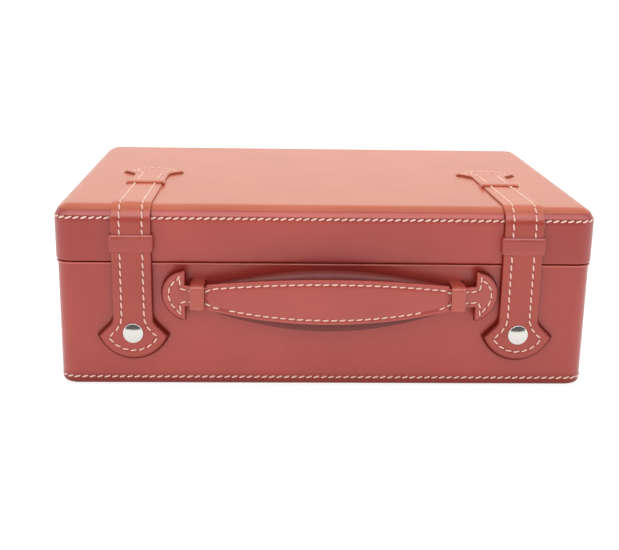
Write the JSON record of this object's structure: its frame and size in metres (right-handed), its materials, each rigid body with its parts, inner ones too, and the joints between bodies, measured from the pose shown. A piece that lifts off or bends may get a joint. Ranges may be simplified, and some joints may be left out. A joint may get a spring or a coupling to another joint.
{
  "type": "pocket watch display box",
  "caption": "low leather covered display box for pocket watches with a hinged padded lid, stitched edges, snap straps with flared ends and a strap handle",
  "frame": {"origin": "middle of the underside of the base, on the table", "axes": "front with the handle towards -Y, width along X, up +Z, lid closed"},
  "size_m": [0.32, 0.2508, 0.1138],
  "materials": {
    "leather": "satin grained, stitched",
    "leather_edge": "satin grained",
    "board": "plain sanded board",
    "suede": "matt suede",
    "pad": "matt soft suede",
    "steel": "polished",
    "brass": "polished"
  },
  "bodies": {
    "base": {"base_sole": "suede", "base_cover": "leather", "base_walls": "board", "base_floor": "board", "base_lining": "suede", "tray_bearer": "board", "tray": "suede", "divider_long_1": "suede", "divider_long_2": "suede", "divider_cross_1": "suede", "divider_cross_2": "suede", "divider_cross_3": "suede", "watch_pad_1": "pad", "watch_pad_2": "pad", "watch_pad_3": "pad", "watch_pad_4": "pad", "watch_pad_5": "pad", "watch_pad_6": "pad", "watch_pad_7": "pad", "watch_pad_8": "pad", "watch_pad_9": "pad", "watch_pad_10": "pad", "watch_pad_11": "pad", "watch_pad_12": "pad", "snap_stud_left": "steel", "snap_stud_right": "steel", "handle_loop_left": "leather", "handle_loop_right": "leather", "base_leaf_left": "brass", "base_leaf_right": "brass", "hinge_pin_left": "brass", "hinge_pin_right": "brass", "base_hinge_screws": "brass"},
    "lid": {"lid_shell": "board", "lid_top_cover": "leather", "lid_side_band": "leather", "lid_lining": "suede", "lid_pad": "pad", "strap_left": "leather", "strap_right": "leather", "front_keeper_left": "leather", "front_keeper_right": "leather", "top_keeper_left": "leather", "top_keeper_right": "leather", "lid_leaf_left": "brass", "lid_leaf_right": "brass", "lid_hinge_screws": "brass"},
    "tail_left": {"tail_left": "leather", "snap_cap_left": "steel", "snap_socket_left": "steel"},
    "tail_right": {"tail_right": "leather", "snap_cap_right": "steel", "snap_socket_right": "steel"},
    "handle": {"handle_strap": "leather", "handle_core": "leather_edge"}
  },
  "joints": [
    {"name": "lid_hinge", "type": "hinge", "parent": "base", "child": "lid", "pos_m": [0, 0.115, 0.07725], "axis": [-1, 0, 0], "range_deg": [0, 100]},
    {"name": "tail_left_swing", "type": "hinge", "parent": "lid", "child": "tail_left", "pos_m": [-0.1141, -0.1144, 0.0823], "axis": [-1, 0, 0], "range_deg": [0, 80]},
    {"name": "tail_right_swing", "type": "hinge", "parent": "lid", "child": "tail_right", "pos_m": [0.1159, -0.1144, 0.0823], "axis": [-1, 0, 0], "range_deg": [0, 80]},
    {"name": "handle_slide", "type": "slide", "parent": "base", "child": "handle", "axis": [1, 0, 0], "range_m": [-0.0008, 0.0008]}
  ]
}
